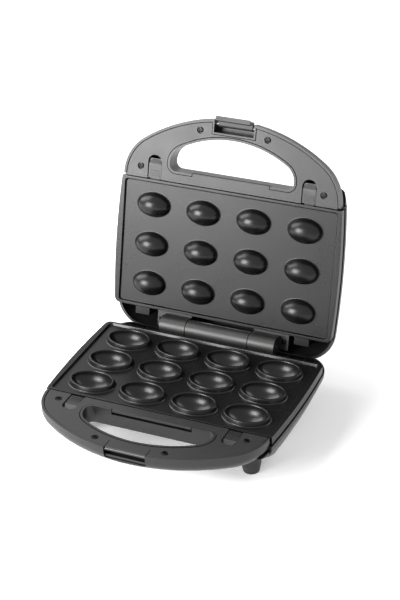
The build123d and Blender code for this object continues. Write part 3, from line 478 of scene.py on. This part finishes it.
# Screws: low round heads with a cross recess and a thread-forming shank, four in each panel, two
# through the knuckle pads and two through the foot of the barrel. Blackened zinc-plated steel.
head_radius = 2.6
head_rings = [(2.45, 2.45, -1.2), (head_radius, head_radius, -1.0), (head_radius, head_radius, -0.45),
              (2.4, 2.4, -0.15), (2.0, 2.0, -0.03), (1.6, 1.6, 0.0)]
cross_cut = (4.0, 1.15, 2.0)
shank_radius = 1.35
shank_top = -1.1
shank_length = 8.6
short_shank_length = 4.8
panel_head_height = -1.05
knuckle_screw_places = [(x, 74.5, -6.8) for x in (-64.6, 64.6)]
barrel_screw_places = [(x, 71.0, -28.4) for x in (-36.5, 36.5)]


def screw_set(name, places, length, place):
    """Screws at places in the plane of a half's face, each given with the height of its head."""
    head = ring_form("head", head_rings, sides=32)
    bpy.ops.mesh.primitive_cylinder_add(vertices=20, radius=shank_radius * mm, depth=length * mm,
                                        location=(0, 0, (shank_top - length / 2) * mm))
    shank = bpy.context.object
    shank.data.transform(shank.matrix_basis)
    shank.matrix_basis = Matrix.Identity(4)
    combined(head, shank, "UNION")
    for angle in (45, 135):
        bpy.ops.mesh.primitive_cube_add(size=mm)
        bit = bpy.context.object
        bit.data.transform(Matrix.Rotation(radians(angle), 4, "Z") @ Matrix.Diagonal((*cross_cut, 1)))
        combined(head, bit, "DIFFERENCE")
    bpy.ops.object.shade_smooth_by_angle(angle=edge_angle)
    return placed(joined(copies_at(head, places), name), place)


# Blackened zinc on steel: a dark metal, mottled by the crystals of its plating.
# The crystals are far under a millimetre and are drawn at 0.5 mm so that they show.
blackened_steel, tree, out = new_material("blackened_zinc_on_steel")
place = add_node(tree, "ShaderNodeTexCoord").outputs["Object"]
crystals = add_node(tree, "ShaderNodeTexNoise", Vector=place, Scale=1 / (0.5 * mm), Detail=2.0)
tint = add_node(tree, "ShaderNodeMix", {"data_type": "RGBA"}, i0=crystals.outputs["Fac"],
                i6=linear("141415"), i7=linear("343436"))
relief = add_node(tree, "ShaderNodeBump", Height=crystals.outputs["Fac"], Distance=0.01 * mm, Strength=1.0)
shader = add_node(tree, "ShaderNodeBsdfPrincipled", Base_Color=tint.outputs[2], Metallic=1.0,
                  Roughness=0.34, Normal=relief.outputs[0])
tree.links.new(shader.outputs[0], out.inputs["Surface"])

for half, half_place in (("base", base_place), ("lid", lid_place)):
    heads = screw_set(half + "_screw_set", [(x, y, panel_head_height) for x, y in screw_places],
                      shank_length, half_place)
    finished(heads, blackened_steel, half, "dark_screws", half + "_panel_screws")
finished(screw_set("knuckle_screw_set", knuckle_screw_places, shank_length, lid_place),
         blackened_steel, "lid", "dark_screws", "knuckle_screws")
finished(screw_set("barrel_screw_set", barrel_screw_places, short_shank_length, base_place),
         blackened_steel, "base", "dark_screws", "barrel_screws")

# Release keys: two ribbed sliders in each panel whose tongues hold the front of the plate, each
# pushed home by a bent steel strip. Moulded in the housing's ABS, its front sloped for the thumb.
key_x = 79.0
slope_y = -79.5
slope_height = -1.6
slope_angle = 20.0
slope_block = 16.0

# Black ABS, slightly glossier than the panel where thumbs rub it.
# Its grain is about 0.1 mm and is drawn at 0.6 mm so that it shows.
key_plastic = moulded_plastic("thumb_polished_black_abs", "181717", "1f1e1e", 0.6, 0.008, 0.36, 1.46)
for half, half_place in (("base", base_place), ("lid", lid_place)):
    for side, word in ((-1, "left"), (1, "right")):
        key = merged_copy(half + "_release_" + word, half + "_key_" + word)
        soften_edges(key, 0.2 * mm)
        bpy.ops.mesh.primitive_cube_add(size=slope_block * mm)
        slope = bpy.context.object
        slope.data.transform(Matrix.Translation((side * key_x * mm, slope_y * mm, slope_height * mm))
                             @ Matrix.Rotation(radians(slope_angle), 4, "X")
                             @ Matrix.Translation((0, -slope_block / 2 * mm, slope_block / 2 * mm)))
        combined(key, placed(slope, half_place), "DIFFERENCE")
        bpy.ops.object.shade_smooth_by_angle(angle=edge_angle)
        finished(key, key_plastic, half + "_key_" + word, "key_plastic", half + "_release_" + word)

# Hinge: a wide barrel that stands in the base, a knuckle on each side screwed to the lid, and a
# steel pin through the three. Moulded in glass-filled nylon, duller and greyer than the shells.
barrel_radius = 8.8
barrel_half = 32.4
barrel_bore = 3.02
knuckle_near = 33.1
knuckle_end = 60.0
knuckle_bore = 3.07


def turned_round(piece, near_x, far_x, bore, place):
    """Fills a packed barrel out to its true circle and bores it for the pin."""
    for radius, over, operation in ((barrel_radius, -0.02, "UNION"), (bore, 1.0, "DIFFERENCE")):
        bpy.ops.mesh.primitive_cylinder_add(vertices=72, radius=radius * mm,
                                            depth=(far_x - near_x + 2 * over) * mm)
        rod = bpy.context.object
        rod.data.transform(Matrix.Translation(((near_x + far_x) / 2 * mm, hinge_y * mm, 0))
                           @ Matrix.Rotation(radians(90), 4, "Y"))
        combined(piece, placed(rod, place), operation)
    soften_edges(piece, 0.5 * mm)
    return piece


# Glass-filled nylon: dark grey, dull, its short fibres just under the skin.
# They are about 0.3 mm long and are drawn at 0.8 mm so that they show.
hinge_nylon = moulded_plastic("glass_filled_nylon", "222221", "2d2d2c", 0.8, 0.012, 0.42, 1.5)
barrel = merged_copy("hinge_barrel", "barrel_block")
finished(turned_round(barrel, -barrel_half, barrel_half, barrel_bore, base_place), hinge_nylon, "base",
         "housing_plastic", "hinge_barrel")
for side, word in ((-1, "left"), (1, "right")):
    arm = merged_copy("hinge_knuckle_" + word, "knuckle_arm_" + word)
    near_x, far_x = sorted((side * knuckle_near, side * knuckle_end))
    finished(turned_round(arm, near_x, far_x, knuckle_bore, lid_place), hinge_nylon, "lid",
             "housing_plastic", "hinge_knuckle_" + word)

# Latch: a moulded clip on the nose of the lid, turning on a steel pin, with a small torsion spring
# beside it that keeps it pressed home.
pivot_y = -127.0
pivot_height = -5.6
wire_radius = 0.28
coil_radius = 1.75
coil_turns = 3
coil_pitch = 1.9
coil_steps = 60
coil_x = 17.85

# Acetal: black and waxy, duller than the ABS beside it.
# Its flow marks are about 0.5 mm apart and are drawn at 1.1 mm so that they show.
acetal = moulded_plastic("black_acetal", "121212", "1a1a1a", 1.1, 0.01, 0.46, 1.48)
clip = merged_copy("latch", "latch_clip")
soften_edges(clip, 0.55 * mm, steps=3)
finished(clip, acetal, "latch", "housing_plastic", "latch")

bpy.ops.mesh.primitive_circle_add(vertices=10, radius=wire_radius * mm)
coil = bpy.context.object
coil.name = "latch_spring"
coil.data.transform(Matrix.Translation((0, coil_radius * mm, 0)))
apply_modifier(coil, "SCREW", axis="X", angle=radians(360 * coil_turns), screw_offset=coil_pitch * mm,
               steps=coil_steps, render_steps=coil_steps)
bpy.ops.object.mode_set(mode="EDIT")
close_and_smooth(radians(50))
coil.data.transform(Matrix.Translation((coil_x * mm, pivot_y * mm, pivot_height * mm)))
placed(coil, lid_place)

# Spring steel and ground pins: bright, drawn lengthwise.
# The drawing lines are a few hundredths of a millimetre apart and are drawn at 0.4 mm to show.
bright_steel, tree, out = new_material("drawn_spring_steel")
place = add_node(tree, "ShaderNodeTexCoord").outputs["Object"]
along = add_node(tree, "ShaderNodeMapping", Vector=place, Scale=(0.04, 1.0, 1.0))
lines = add_node(tree, "ShaderNodeTexNoise", Vector=along.outputs[0], Scale=1 / (0.4 * mm), Detail=2.0)
gloss = add_node(tree, "ShaderNodeMapRange", i0=lines.outputs["Fac"], i3=0.22, i4=0.38)
shader = add_node(tree, "ShaderNodeBsdfPrincipled", Base_Color=linear("b9b6b1"), Metallic=1.0,
                  Roughness=gloss.outputs[0])
tree.links.new(shader.outputs[0], out.inputs["Surface"])
finished(coil, bright_steel, "lid", "spring_steel")
for name in ("hinge_pin", "latch_pin", "base_release_spring_left", "base_release_spring_right",
             "lid_release_spring_left", "lid_release_spring_right"):
    node[name].data.materials.clear()
    node[name].data.materials.append(bright_steel)

# Plate catches: bent strips beside the hinge, in both halves, over which the plate's tabs go.
# Stamped steel, blackened like the screws, its sheared edges eased.
for half in ("base", "lid"):
    strips = merged_copy(half + "_plate_catches", half + "_catch_strips")
    soften_edges(strips, 0.3 * mm)
    finished(strips, blackened_steel, half, "spring_steel", half + "_plate_catches")

# Feet: four tapered rubber feet, each pressed by its spigot into a leg of the base.
# Moulded natural rubber, round at its edges.
foot_rings = [(2.4, 2.4, 12.0), (2.4, 2.4, 9.0), (8.7, 8.7, 9.0), (9.0, 9.0, 8.7), (8.6, 8.6, 6.2),
              (7.8, 7.8, 1.2), (7.6, 7.6, 0.5), (7.0, 7.0, 0.0)]
foot_places = [(x, y) for x in (-88, 88) for y in (-61.27, 59.73)]
foot = ring_form("rubber_foot_set", foot_rings, sides=48)
feet = joined(copies_at(foot, foot_places), "rubber_foot_set")

# Black rubber: matt, with a dusty bloom.
# The bloom's specks are about 0.2 mm and are drawn at 0.8 mm so that they show.
foot_rubber, tree, out = new_material("moulded_black_rubber")
place = add_node(tree, "ShaderNodeTexCoord").outputs["Object"]
bloom = add_node(tree, "ShaderNodeTexNoise", Vector=place, Scale=1 / (0.8 * mm), Detail=4.0)
tint = add_node(tree, "ShaderNodeMix", {"data_type": "RGBA"}, i0=bloom.outputs["Fac"], i6=linear("1c1c1c"),
                i7=linear("2c2c2b"))
relief = add_node(tree, "ShaderNodeBump", Height=bloom.outputs["Fac"], Distance=0.02 * mm, Strength=1.0)
shader = add_node(tree, "ShaderNodeBsdfPrincipled", Base_Color=tint.outputs[2], IOR=1.52, Roughness=0.62,
                  Normal=relief.outputs[0])
tree.links.new(shader.outputs[0], out.inputs["Surface"])
finished(feet, foot_rubber, "base", "foot_rubber", "rubber_feet")

# Cord gland: the moulded bush at the back of the base through which the mains lead goes in.
# Same black rubber as the feet.
gland = merged_copy("cord_gland", "cord_bush")
soften_edges(gland, 0.3 * mm)
finished(gland, foot_rubber, "base", "gland_rubber", "cord_gland")

# Heating: in each half a folded sheet tray throws the heat of a tubular element at the plate, held
# by two brackets. The thermostat and the thermal fuse sit under the lower tray.

# Rolled aluminium sheet: bright, with the rolling direction just visible.
# The rolling lines are under 0.1 mm apart and are drawn at 0.5 mm so that they show.
rolled_aluminium, tree, out = new_material("rolled_aluminium_sheet")
place = add_node(tree, "ShaderNodeTexCoord").outputs["Object"]
along = add_node(tree, "ShaderNodeMapping", Vector=place, Scale=(0.03, 1.0, 1.0))
lines = add_node(tree, "ShaderNodeTexNoise", Vector=along.outputs[0], Scale=1 / (0.5 * mm), Detail=3.0)
gloss = add_node(tree, "ShaderNodeMapRange", i0=lines.outputs["Fac"], i3=0.25, i4=0.45)
relief = add_node(tree, "ShaderNodeBump", Height=lines.outputs["Fac"], Distance=0.006 * mm, Strength=1.0)
shader = add_node(tree, "ShaderNodeBsdfPrincipled", Base_Color=linear("cfcfd0"), Metallic=1.0,
                  Roughness=gloss.outputs[0], Normal=relief.outputs[0])
tree.links.new(shader.outputs[0], out.inputs["Surface"])

# Stainless heater sheath: annealed, straw to grey-blue where it has been hot.
# The heat tint changes over centimetres, as on a used element.
heater_steel, tree, out = new_material("heat_tinted_stainless")
place = add_node(tree, "ShaderNodeTexCoord").outputs["Object"]
heat = add_node(tree, "ShaderNodeTexNoise", Vector=place, Scale=1 / (22 * mm), Detail=3.0)
tint = add_node(tree, "ShaderNodeMix", {"data_type": "RGBA"}, i0=heat.outputs["Fac"], i6=linear("9c8f7a"),
                i7=linear("7c8087"))
shader = add_node(tree, "ShaderNodeBsdfPrincipled", Base_Color=tint.outputs[2], Metallic=1.0,
                  Roughness=0.35)
tree.links.new(shader.outputs[0], out.inputs["Surface"])

# Steatite: the cream unglazed ceramic of the terminal block, with fine pores.
# The pores are about 0.1 mm and are drawn at 0.5 mm so that they show.
steatite, tree, out = new_material("unglazed_steatite")
place = add_node(tree, "ShaderNodeTexCoord").outputs["Object"]
pores = add_node(tree, "ShaderNodeTexNoise", Vector=place, Scale=1 / (0.5 * mm), Detail=4.0)
tint = add_node(tree, "ShaderNodeMix", {"data_type": "RGBA"}, i0=pores.outputs["Fac"], i6=linear("d9d2c2"),
                i7=linear("ebe6da"))
relief = add_node(tree, "ShaderNodeBump", Height=pores.outputs["Fac"], Distance=0.02 * mm, Strength=1.0)
shader = add_node(tree, "ShaderNodeBsdfPrincipled", Base_Color=tint.outputs[2], IOR=1.58, Roughness=0.6,
                  Normal=relief.outputs[0])
tree.links.new(shader.outputs[0], out.inputs["Surface"])
for material, names in ((rolled_aluminium, ("base_reflector", "lid_reflector", "base_heater_brackets",
                                            "lid_heater_brackets", "thermostat", "thermal_fuse")),
                        (heater_steel, ("base_heater", "lid_heater")),
                        (steatite, ("terminal_block",))):
    for name in names:
        node[name].data.materials.clear()
        node[name].data.materials.append(material)

# Lamp lenses: two small domed windows in the lid's outer face, red for power and green for ready.
# Tinted polycarbonate, snapped in from outside.
lens_radius = 3.12
lens_y = -20.0
lens_rings = [(lens_radius, lens_radius, -29.8), (lens_radius, lens_radius, -38.1), (2.95, 2.95, -38.45),
              (2.4, 2.4, -38.68), (1.4, 1.4, -38.78)]
for word, x, slot_name, deep, pale in (("power", -9.0, "red_lens", "8c1810", "c43a24"),
                                       ("ready", 9.0, "green_lens", "1d6a2c", "3c9a4a")):
    lens = ring_form(word + "_window", lens_rings, sides=32)
    lens = placed(joined(copies_at(lens, [(x, lens_y)]), word + "_window"), lid_place)

    # Tinted polycarbonate: glossy and only partly clear, its colour deep in the plastic.
    # Faint flow lines of the moulding, about 1.5 mm apart, vary its colour.
    tinted, tree, out = new_material(word + "_tinted_polycarbonate")
    place = add_node(tree, "ShaderNodeTexCoord").outputs["Object"]
    flow = add_node(tree, "ShaderNodeTexNoise", Vector=place, Scale=1 / (1.5 * mm), Detail=1.0)
    tint = add_node(tree, "ShaderNodeMix", {"data_type": "RGBA"}, i0=flow.outputs["Fac"], i6=linear(deep),
                    i7=linear(pale))
    shader = add_node(tree, "ShaderNodeBsdfPrincipled", Base_Color=tint.outputs[2], IOR=1.585,
                      Roughness=0.12, Transmission_Weight=0.25)
    tree.links.new(shader.outputs[0], out.inputs["Surface"])
    finished(lens, tinted, "lid", slot_name, word + "_lamp_lens")
